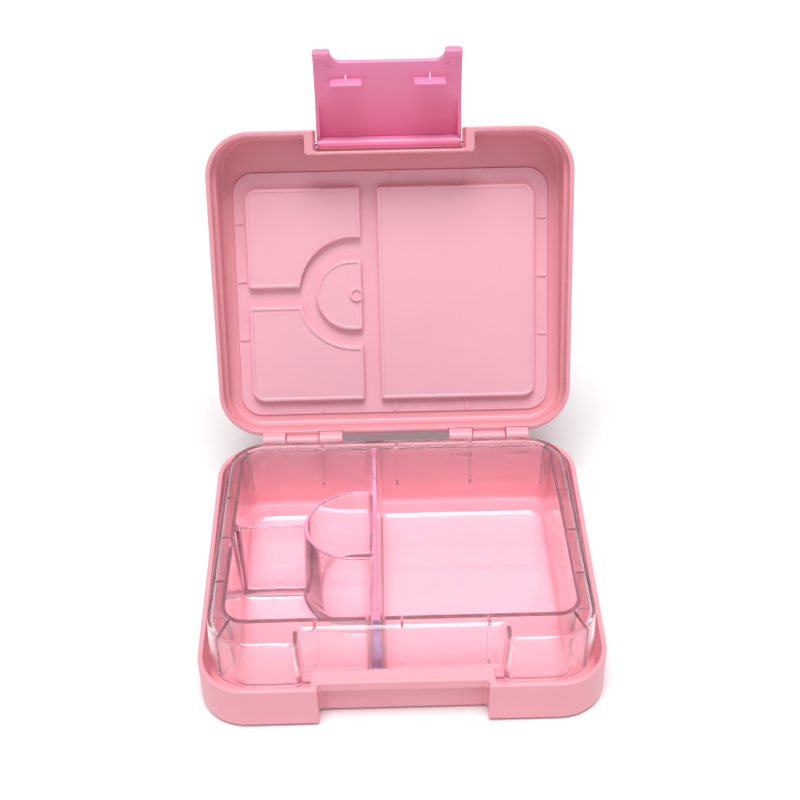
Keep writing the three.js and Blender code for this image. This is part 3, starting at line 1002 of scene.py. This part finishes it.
# ---- seal ---------------------------------------------------------------------------------------


@dataclass(frozen=True)
class LidSeal:
    """The silicone sheet inside the lid, with four beaded pads that plug the compartments, built closed."""

    pose: OpenPose
    half: float = 77.75
    front: float = -55.35
    back: float = 66.45
    corner: float = 10.25
    top: float = 49.3
    underside: float = 46.0
    pad_level: float = 42.5
    pad_corner: float = 6.0
    pad_corner_small: float = 1.2
    bead: float = 1.5
    bead_height: float = 0.5
    edge: float = 0.8
    sheet_edge: float = 0.3
    cup_centre: Point = (-18.9, 4.2)
    cup_clearance: float = 27.2
    pads: tuple[tuple[float, float, float, float], ...] = (
        (-71.7, -15.2, 10.6, 59.0),
        (-71.7, -15.2, -47.6, 1.4),
        (-6.7, 70.9, -47.6, 59.0),
    )
    cup_pad: tuple[float, float, float, float] = (-38.1, -15.3, -12.0, 23.1)
    boss: tuple[float, float, float] = (-17.9, 5.2, 3.6)
    boss_hollow: float = 2.3
    tick_columns: tuple[float, ...] = (-36.6, 0.1, 36.7)
    tick_rows: tuple[float, ...] = (27.2, -2.0, -31.0)
    tick_half: Point = (2.2, 0.7)
    tick_height: float = 0.6
    tick_inset: Point = (2.9, 3.2)
    buried: float = 0.5

    def _outline(
        self, sides: tuple[float, float, float, float], radii: tuple[float, float, float, float]
    ) -> Plan:
        """Draw a pad from its sides and its corner radii, from the lower left anticlockwise."""
        x0, x1, y0, y1 = sides
        corners = ((x0, y0), (x1, y0), (x1, y1), (x0, y1))
        return Plan(tuple((x, y, radius) for (x, y), radius in zip(corners, radii)), 8)

    def _slab(self, outline: Plan, low: float, high: float, edge: float) -> bpy.types.Object:
        """Make an upright slab whose lower edge is rounded."""
        loft = Loft()
        for inset, rise in quarter(edge, 4):
            loft.ring(outline.inset(inset), low + rise)
        loft.ring(outline, high)
        return loft.build("slab")

    def _around_cup(self, grow: float, edge: float) -> bpy.types.Object:
        """Make the round tool that keeps a pad clear of the cup, flared where the pad's edge is rounded."""
        x, y = self.cup_centre
        loft = Loft()
        loft.ring(circle(x, y, self.cup_clearance + grow + edge, 20), self.pad_level - PAST)
        for inset, rise in quarter(edge, 4):
            loft.ring(circle(x, y, self.cup_clearance + grow + inset, 20), self.pad_level + rise)
        loft.ring(circle(x, y, self.cup_clearance + grow, 20), self.underside)
        return loft.build("around_cup")

    def _pad(self, outline: Plan, beside_cup: bool) -> bpy.types.Object:
        """Make one pad with a raised bead round a sunk field."""
        pad = self._slab(outline, self.pad_level, self.underside + PAST, self.edge)
        field = outline.inset(self.bead)
        sunk = Loft()
        sunk.ring(field, self.pad_level - PAST)
        sunk.ring(field, self.pad_level + 0.15)
        sunk.ring(field.inset(self.bead_height), self.pad_level + self.bead_height)
        recess = sunk.build("recess")
        if beside_cup:
            apply_boolean(pad, [self._around_cup(0, self.edge)], "DIFFERENCE")
            apply_boolean(recess, [self._around_cup(self.bead, 0.3)], "DIFFERENCE")
        apply_boolean(pad, [recess], "DIFFERENCE")
        return pad

    def _ticks(self) -> list[bpy.types.Object]:
        """Make the small raised marks on the frame where the tray's webs meet it."""
        low, high = self.underside - self.tick_height, self.underside + self.buried
        length, width = self.tick_half
        side, end = self.tick_inset
        spots = [(x, y, width, length) for x in self.tick_columns for y in (self.front + end, self.back - end)]
        spots += [(x, y, length, width) for y in self.tick_rows for x in (-self.half + side, self.half - side)]
        return [
            self._slab(rectangle(x - across, x + across, y - along, y + along, 0.5, 3), low, high, 0.2)
            for x, y, across, along in spots
        ]

    def build(self, material: bpy.types.Material) -> None:
        """Build and dress the seal.

        Args:
            material: The silicone.
        """
        plan = rectangle(-self.half, self.half, self.front, self.back, self.corner, 10)
        seal = self._slab(plan, self.underside, self.top, self.sheet_edge)
        large, small = self.pad_corner, self.pad_corner_small
        radii = ((small, small, small, large), (large, small, small, small), (small, large, large, small))
        left, left_front, right = (self._outline(pad, corners) for pad, corners in zip(self.pads, radii))
        x0, x1, y0, y1 = self.cup_pad
        round_side = (y1 - y0) / 2 - 0.02
        cup = Plan(((x0, y0, round_side), (x1, y0, small), (x1, y1, small), (x0, y1, round_side)), 16)
        x, y, radius = self.boss
        boss = self._slab(circle(x, y, radius), self.pad_level - 0.9, self.underside, 0.5)
        beyond = rectangle(x1, x1 + 10, y - 10, y + 10, 0.5, 3)
        hollow = self._slab(circle(x, y, self.boss_hollow), self.pad_level - 3, self.pad_level, 0.1)
        away = self._slab(beyond, self.pad_level - 3, self.underside + 3, 0.1)
        apply_boolean(boss, [away, hollow], "DIFFERENCE")
        beside_cup = ((left, True), (left_front, True), (right, False), (cup, False))
        pads = [self._pad(outline, beside) for outline, beside in beside_cup]
        apply_boolean(seal, [*pads, boss, *self._ticks()], "UNION")
        seal.name = "lid_seal_sheet"
        place(seal, self.pose.lid())
        dress(seal, material, Slot.SEAL, Rides.LID, "lid_seal")


# ---- tray ---------------------------------------------------------------------------------------


@dataclass(frozen=True)
class FoodTray:
    """The clear tray: a skirted sheet with four drafted compartments, and webs between them and the skirt."""

    top: float = 44.5
    half: float = 82.2
    front: float = -71.3
    back: float = 69.2
    corner: float = 20.0
    notch: Notch = Notch(43.5, -62.2, fillet=2.5, mouth=2.0)
    notch_low: Notch = Notch(42.1, -63.6, fillet=2.5, mouth=2.0)
    sheet: float = 1.8
    skirt: float = 1.5
    skirt_bottom: float = 20.5
    flare: float = 1.2
    brim_round: float = 1.1
    pocket_half: float = 74.9
    pocket_front: float = -55.6
    pocket_back: float = 61.95
    pocket_corner: float = 9.0
    inner_corner: float = 3.5
    wall: float = 1.8
    divider_x: float = -11.0
    divider_y: float = 4.2
    divider: float = 2.0
    cup_x: float = -18.9
    cup_radius: float = 22.6
    floor: float = 4.0
    underside: float = 2.5
    draft: float = 1.7
    foot: float = 3.5
    lip: float = 0.6
    web: float = 1.2
    web_columns: tuple[float, ...] = (-36.6, 0.1, 36.7)
    web_rows: tuple[float, ...] = (27.2, -2.0, -31.0)
    corner_webs: tuple[tuple[Point, Point], ...] = (
        ((72.6, -54.9), (77.0, -66.2)),
        ((72.6, 60.5), (76.2, 64.2)),
    )
    web_foot: float = 0.6

    def _plan(self, level: float, inset: float) -> Plan:
        """Draw the skirt's outline at a level, drafted and inset."""
        share = (self.top - level) / (self.top - self.skirt_bottom)
        grow = self.flare * share - inset
        high, low = self.notch, self.notch_low
        notch = replace(
            high,
            half=high.half + (low.half - high.half) * share + inset,
            back=high.back + (low.back - high.back) * share + inset,
        )
        return notched(self.half + grow, self.front - grow, self.back + grow, self.corner + grow, notch)

    def _skirted_sheet(self) -> bpy.types.Object:
        """Loft the top sheet and its skirt."""
        loft = Loft()
        for inset, drop in quarter(self.brim_round, 5):
            loft.ring(self._plan(self.top - drop, inset), self.top - drop)
        rim = self.skirt / 2
        for inset, rise in reversed(quarter(rim, 3)):
            loft.ring(self._plan(self.skirt_bottom + rise, inset), self.skirt_bottom + rise)
        for inset, rise in quarter(rim, 3):
            loft.ring(self._plan(self.skirt_bottom + rise, self.skirt - inset), self.skirt_bottom + rise)
        ceiling = self.top - self.sheet
        for inset, drop in reversed(quarter(1.0, 3)):
            loft.ring(self._plan(ceiling - drop, self.skirt + inset), ceiling - drop)
        return loft.build("sheet")

    def _tub(self) -> bpy.types.Object:
        """Loft the outside of the compartments."""
        half, thick = self.pocket_half + self.wall, self.wall
        plan = rectangle(
            -half, half, self.pocket_front - thick, self.pocket_back + thick, self.pocket_corner + thick, 12
        )
        loft = Loft()
        for inset, rise in quarter(self.foot):
            loft.ring(plan.inset(self.draft + inset), self.underside + rise)
        loft.ring(plan, self.top - self.sheet / 2)
        return loft.build("tub")

    def _hollow(self, plan: Plan) -> bpy.types.Object:
        """Loft the inside of a compartment, with a rounded foot and a softened lip."""
        loft = Loft()
        for inset, rise in quarter(self.foot):
            loft.ring(plan.inset(self.draft + inset), self.floor + rise)
        for inset, drop in reversed(quarter(self.lip, 3)):
            loft.ring(plan.inset(-inset), self.top - drop)
        loft.ring(plan.inset(-self.lip), self.top + 2)
        return loft.build("hollow")

    def _cup_plan(self, grow: float, flat: float, corner: float) -> Plan:
        """Draw the D-shaped cup, grown evenly, with its flat side at x = flat."""
        radius = self.cup_radius + grow
        x, y = self.cup_x, self.divider_y
        return Plan(
            (
                (x - radius, y - radius, radius - 0.02),
                (flat, y - radius, corner),
                (flat, y + radius, corner),
                (x - radius, y + radius, radius - 0.02),
            ),
            20,
        )

    def _cup_wall(self) -> bpy.types.Object:
        """Loft the outside of the cup's wall, flared at its foot and softened at its lip."""
        plan = self._cup_plan(self.wall, self.divider_x, 0.5)
        loft = Loft()
        loft.ring(plan.inset(-self.draft - self.foot), self.floor - 1)
        for inset, rise in quarter(self.foot):
            loft.ring(plan.inset(-self.draft - inset), self.floor + rise)
        for inset, drop in reversed(quarter(self.lip, 3)):
            loft.ring(plan.inset(inset), self.top - drop)
        loft.ring(plan.inset(self.lip), self.top + 3)
        return loft.build("cup_wall")

    def _hollows(self) -> list[bpy.types.Object]:
        """Make the four compartments' insides."""
        left, right = self.divider_x - self.divider / 2, self.divider_x + self.divider / 2
        low, high = self.divider_y - self.divider / 2, self.divider_y + self.divider / 2
        half, r, q = self.pocket_half, self.pocket_corner, self.inner_corner
        front, back = self.pocket_front, self.pocket_back
        back_left = Plan(((-half, high, q), (left, high, q), (left, back, q), (-half, back, r)))
        front_left = Plan(((-half, front, r), (left, front, q), (left, low, q), (-half, low, q)))
        large = Plan(((right, front, q), (half, front, r), (half, back, r), (right, back, q)))
        hollows = [self._hollow(back_left), self._hollow(front_left)]
        for hollow in hollows:
            apply_boolean(hollow, [self._cup_wall()], "DIFFERENCE")
        cup = self._cup_plan(0, left, 2.0)
        return [*hollows, self._hollow(large), self._hollow(cup)]

    def _web(self, start: Point, end: Point) -> bpy.types.Object:
        """Make an upright web between two points of the plan."""
        a, b = Vector(start), Vector(end)
        along = (b - a).normalized()
        side = Vector((-along.y, along.x)) * self.web / 2
        corners = tuple((*corner, SHARP) for corner in (a - side, b - side, b + side, a + side))
        loft = Loft()
        loft.ring(Plan(corners, 2), self.skirt_bottom + self.web_foot)
        loft.ring(Plan(corners, 2), self.top - self.sheet / 2)
        return loft.build("web")

    def _webs(self) -> list[bpy.types.Object]:
        """Make every web, ending inside the skirt and inside the compartments' walls."""
        inner, into = 0.6, self.skirt / 2
        half, front, back = self.pocket_half + inner, self.pocket_front - inner, self.pocket_back + inner
        found = []
        for x in self.web_columns:
            found.append(self._web((x, back), (x, self.back - into + self.flare / 2)))
            found.append(self._web((x, self.notch.back + into), (x, front)))
        for y in self.web_rows:
            for side in (-1, 1):
                found.append(self._web((side * half, y), (side * (self.half - into), y)))
        for side in (-1, 1):
            for (x0, y0), (x1, y1) in self.corner_webs:
                found.append(self._web((side * x0, y0), (side * x1, y1)))
        return found

    def build(self, material: bpy.types.Material) -> None:
        """Build and dress the tray.

        Args:
            material: The clear plastic.
        """
        tray = self._skirted_sheet()
        apply_boolean(tray, [self._tub(), *self._webs()], "UNION")
        apply_boolean(tray, self._hollows(), "DIFFERENCE")
        tray.name = "food_tray_moulding"
        dress(tray, material, Slot.TRAY, Rides.TRAY, "food_tray")


# ---- latch --------------------------------------------------------------------------------------


@dataclass(frozen=True)
class Latch:
    """The swinging latch, built closed: a plate with two lipped ears, two hooks, two cheeks and a flange."""

    sizes: BoxSizes
    pose: OpenPose
    half: float = 35.4
    barrel: float = 2.3
    flange_underside: float = 48.4
    flange_corner: float = 1.6
    inner: float = -74.0
    outer: float = -76.3
    plate_end: float = 6.5
    ear_width: float = 8.3
    ear_end: float = 0.3
    ear_round: float = 1.2
    ear_curve: float = 5.0
    ear_lip_reach: float = -71.9
    ear_lip_height: float = 3.4
    plate_edge: float = 0.6
    plate_bevel: float = 0.9
    hooks: Point = (12.5, 27.6)
    hook_top: float = 16.7
    hook_thickness: float = 1.4
    hook_reach: float = -68.2
    web: float = 1.0
    web_drop: float = 2.6
    root: float = 0.6
    cheek: float = 1.8
    cheek_end: float = 25.0
    mark_depth: float = 0.3
    marks: tuple[tuple[float, float, float], ...] = ((27.2, 6.6, 2.4), (26.4, 42.0, 2.8))

    def _plate_path(self) -> list[Point]:
        """Draw the plate in X and height, anticlockwise from its lower right ear."""
        z = self.pose.closed_pivot().z
        tip, curve_radius = self.ear_round, self.ear_curve
        inner_edge = self.half - self.ear_width
        right_ear = [
            *arc(inner_edge + tip, self.ear_end + tip, tip, 180, 270, 8),
            *arc(self.half - tip, self.ear_end + tip, tip, 270, 360, 8),
        ]
        top = [(self.half, z - 1.0), (self.half - 1.0, z), (-self.half + 1.0, z), (-self.half, z - 1.0)]
        left_ear = [(-x, y) for x, y in reversed(right_ear)]
        curve = arc(inner_edge - curve_radius, self.plate_end - curve_radius, curve_radius, 90, 0, 8)
        return [*right_ear, *top, *left_ear, *[(-x, y) for x, y in reversed(curve)], *curve]

    def _plate(self) -> bpy.types.Object:
        """Loft the plate from its outer to its inner face, with softened edges."""
        path = self._plate_path()
        loft = Loft()
        for inset, depth in quarter(self.plate_edge, 3):
            loft.ring(offset_path(path, inset), self.outer + depth)
        for inset, depth in reversed(quarter(self.plate_bevel, 3)):
            loft.ring(offset_path(path, inset), self.inner - depth)
        return loft.build("latch_moulding", ALONG_Y)

    def _hook(self, span: Point) -> list[bpy.types.Object]:
        """Make one hook: a ledge with a web below its middle."""
        root, low, middle = self.inner - self.root, self.hook_top - self.hook_thickness, sum(span) / 2
        ledge = rectangle(root, self.hook_reach, low, self.hook_top, 0.5, 4)
        web = Plan(
            (
                (root, low - self.web_drop, SHARP),
                (self.hook_reach - 1.2, low + 0.4, 0.4),
                (root, low + 0.4, SHARP),
            ),
            3,
        )
        return [
            bar("ledge", ledge, *span, 0.3, ALONG_X),
            bar("web", web, middle - self.web / 2, middle + self.web / 2, 0.15, ALONG_X),
        ]

    def _cheek(self, span: Point) -> bpy.types.Object:
        """Make one side cheek, which tapers away from the pivot."""
        pivot = self.pose.closed_pivot()
        root, face = self.inner - self.root, pivot.y + 0.3 * self.barrel
        profile = Plan(
            (
                (root, self.cheek_end, SHARP),
                (face, pivot.z - 0.22 * (pivot.z - self.cheek_end), 3.0),
                (face, pivot.z, 0.3),
                (root, pivot.z, SHARP),
            )
        )
        return bar("cheek", profile, *span, END_EDGE, ALONG_X)

    def _flange(self) -> bpy.types.Object:
        """Make the flange from the plate's upper end to the barrel."""
        pivot = self.pose.closed_pivot()
        top = pivot.z + self.barrel
        profile = Plan(
            (
                (self.outer, self.flange_underside, SHARP),
                (pivot.y, self.flange_underside, SHARP),
                (pivot.y, top, SHARP),
                (self.outer, top, self.flange_corner),
            )
        )
        return bar("flange", profile, -self.half, self.half, END_EDGE, ALONG_X)

    def _ear_lip(self, span: Point) -> bpy.types.Object:
        """Make the lip inside one ear's end."""
        low, high = self.ear_end, self.ear_end + self.ear_lip_height
        profile = rectangle(self.inner - 1.2, self.ear_lip_reach, low, high, 0.7, 5)
        return bar("ear_lip", profile, *span, 0.9, ALONG_X)

    def _mark(self, x: float, z: float, radius: float) -> bpy.types.Object:
        """Make the shallow disc that an ejector pin leaves in the inner face."""
        loft = Loft()
        loft.ring(circle(x, z, radius), self.inner - self.mark_depth)
        loft.ring(circle(x, z, radius), self.inner + 2)
        return loft.build("mark", ALONG_Y)

    def build(self, material: bpy.types.Material) -> None:
        """Build and dress the latch.

        Args:
            material: The latch's plastic.
        """
        pivot = self.pose.closed_pivot()
        latch = self._plate()
        barrel = circle(pivot.y, pivot.z, self.barrel)
        pieces = [bar("barrel", barrel, -self.half, self.half, END_EDGE, ALONG_X), self._flange()]
        for span in mirrored(self.hooks):
            pieces += self._hook(span)
        pieces += [self._ear_lip(span) for span in mirrored((self.half - self.ear_width, self.half))]
        pieces += [self._cheek(span) for span in mirrored((self.half - self.cheek, self.half))]
        apply_boolean(latch, pieces, "UNION")
        bore = circle(pivot.y, pivot.z, self.sizes.bore)
        tools = [bar("bore", bore, -self.half - PAST, self.half + PAST, TOOL_EDGE, ALONG_X)]
        tools += [self._mark(side * x, z, radius) for x, z, radius in self.marks for side in (-1, 1)]
        apply_boolean(latch, tools, "DIFFERENCE")
        place(latch, self.pose.latch())
        dress(latch, material, Slot.LATCH, Rides.LATCH, "latch")


# ---- pins ---------------------------------------------------------------------------------------


@dataclass(frozen=True)
class Pin:
    """A steel pin along X with chamfered ends.

    Attributes:
        node: The CAD node that it stands for.
        centre: Its axis, in millimetres.
        span: Where it starts and ends along X.
        rides: The body that it moves with.
        radius: Its radius.
        chamfer: Its end chamfers.
    """

    node: str
    centre: Vector
    span: Point
    rides: Rides
    radius: float = 1.0
    chamfer: float = 0.25

    def build(self, material: bpy.types.Material) -> None:
        """Build and dress the pin.

        Args:
            material: The steel.
        """
        outline = circle(self.centre.y, self.centre.z, self.radius, 8)
        pin = bar(f"{self.node}_rod", outline, *self.span, self.chamfer, ALONG_X)
        dress(pin, material, Slot.STEEL, self.rides, self.node)


# ---- stage --------------------------------------------------------------------------------------


@dataclass(frozen=True)
class Camera:
    """The camera: its place in millimetres, its turn and its lens."""

    place: tuple[float, float, float] = (-3.7, -459.9, 433.4)
    heading: float = 0.65
    tilt: float = -34.62
    roll: float = -1.0
    lens: float = 59.285
    sensor: float = 36.0

    def build(self) -> None:
        """Make the scene's camera."""
        heading, tilt, roll = (math.radians(angle) for angle in (self.heading, self.tilt, self.roll))
        forward = Vector(
            (math.sin(heading) * math.cos(tilt), math.cos(heading) * math.cos(tilt), math.sin(tilt))
        )
        level = forward.cross(Vector((0, 0, 1))).normalized()
        upright = level.cross(forward)
        right = level * math.cos(roll) + upright * math.sin(roll)
        up = upright * math.cos(roll) - level * math.sin(roll)
        data = bpy.data.cameras.new("camera")
        data.lens = self.lens
        data.sensor_width = self.sensor
        camera = bpy.data.objects.new("camera", data)
        bpy.context.scene.collection.objects.link(camera)
        turn = Matrix((right, up, -forward)).transposed().to_4x4()
        camera.matrix_world = Matrix.Translation(Vector(self.place) * MM) @ turn
        bpy.context.scene.camera = camera


@dataclass(frozen=True)
class SoftBox:
    """A square studio light that faces a point."""

    name: str
    place: tuple[float, float, float]
    target: tuple[float, float, float]
    size: float
    watts: float

    def build(self) -> None:
        """Make the light."""
        data = bpy.data.lights.new(self.name, "AREA")
        data.size = self.size
        data.energy = self.watts
        lamp = bpy.data.objects.new(self.name, data)
        bpy.context.scene.collection.objects.link(lamp)
        lamp.location = self.place
        aim = Vector(self.target) - Vector(self.place)
        lamp.rotation_mode = "QUATERNION"
        lamp.rotation_quaternion = aim.to_track_quat("-Z", "Y")


@dataclass(frozen=True)
class Skylight:
    """A wide soft light that falls evenly on everything."""

    elevation: float = 76.0
    heading: float = -8.0
    strength: float = 2.8
    softness: float = 34.0

    def build(self) -> None:
        """Make the light."""
        data = bpy.data.lights.new("skylight", "SUN")
        data.energy = self.strength
        data.angle = math.radians(self.softness)
        lamp = bpy.data.objects.new("skylight", data)
        bpy.context.scene.collection.objects.link(lamp)
        lamp.rotation_euler = (math.radians(90 - self.elevation), 0, math.radians(self.heading))


@dataclass(frozen=True)
class Studio:
    """A pale floor under even white light, before a white backdrop that lights less than it shows."""

    floor_half: float = 6.0
    floor_drop: float = 0.0002
    floor_white: float = 0.9
    sky: float = 0.33
    skylight: Skylight = Skylight()
    boxes: tuple[SoftBox, ...] = (
        SoftBox("front_left", (-1.1, -1.2, 1.1), (0, 0, 0.08), 1.0, 1.2),
        SoftBox("front_right", (1.2, -0.9, 0.9), (0, 0, 0.08), 1.0, 0.8),
    )

    def build(self) -> None:
        """Make the floor, the world and the lights."""
        mesh = bmesh.new()
        bmesh.ops.create_grid(mesh, x_segments=4, y_segments=4, size=self.floor_half)
        floor = as_object("floor", mesh)
        floor.location.z = -self.floor_drop
        paper = bpy.data.materials.new("floor_paper")
        paper.use_nodes = True
        shader = paper.node_tree.nodes["Principled BSDF"]
        shader.inputs["Base Color"].default_value = (*[self.floor_white] * 3, 1)
        shader.inputs["Roughness"].default_value = 0.9
        shader.inputs["Specular IOR Level"].default_value = 0.1
        floor.data.materials.append(paper)
        world = bpy.data.worlds.new("studio")
        bpy.context.scene.world = world
        world.use_nodes = True
        sheet = NodeSheet(world.node_tree)
        seen = sheet.add("ShaderNodeLightPath").outputs["Is Camera Ray"]
        backdrop = world.node_tree.nodes["Background"]
        backdrop.inputs["Color"].default_value = (1, 1, 1, 1)
        sheet.feed(backdrop.inputs["Strength"], sheet.math("MAXIMUM", seen, self.sky))
        bpy.context.scene.view_settings.view_transform = "Standard"
        self.skylight.build()
        for box in self.boxes:
            box.build()


# ---- the whole box ------------------------------------------------------------------------------


def build_box() -> None:
    """Build every piece of the lunch box."""
    sizes, pose, groups = BoxSizes(), OpenPose(), SurfaceGroups()
    shell, hot_pink, silicone, clear, steel = (
        finish.make(groups)
        for finish in (SHELL_PLASTIC, LATCH_PLASTIC, SEAL_SILICONE, TRAY_PLASTIC, DrawnSteel("drawn_steel"))
    )

    BaseShell(sizes, pose).build(shell)
    LidShell(sizes, pose).build(shell)
    LidSeal(pose).build(silicone)
    FoodTray().build(clear)
    Latch(sizes, pose).build(hot_pink)
    ends = (sizes.tabs[0][0] + sizes.gap, sizes.tabs[1][1] - sizes.gap)
    for node, span in zip(("hinge_pin_right", "hinge_pin_left"), mirrored(ends)):
        Pin(node, pose.hinge, span, Rides.BASE).build(steel)
    Pin("latch_pin", pose.pivot, (-38.6, 38.6), Rides.LID).build(steel)


def main() -> None:
    """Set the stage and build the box."""
    logging.basicConfig(level=logging.INFO, format="%(name)s %(message)s")
    Camera().build()
    Studio().build()
    build_box()


if __name__ == "__main__":
    main()
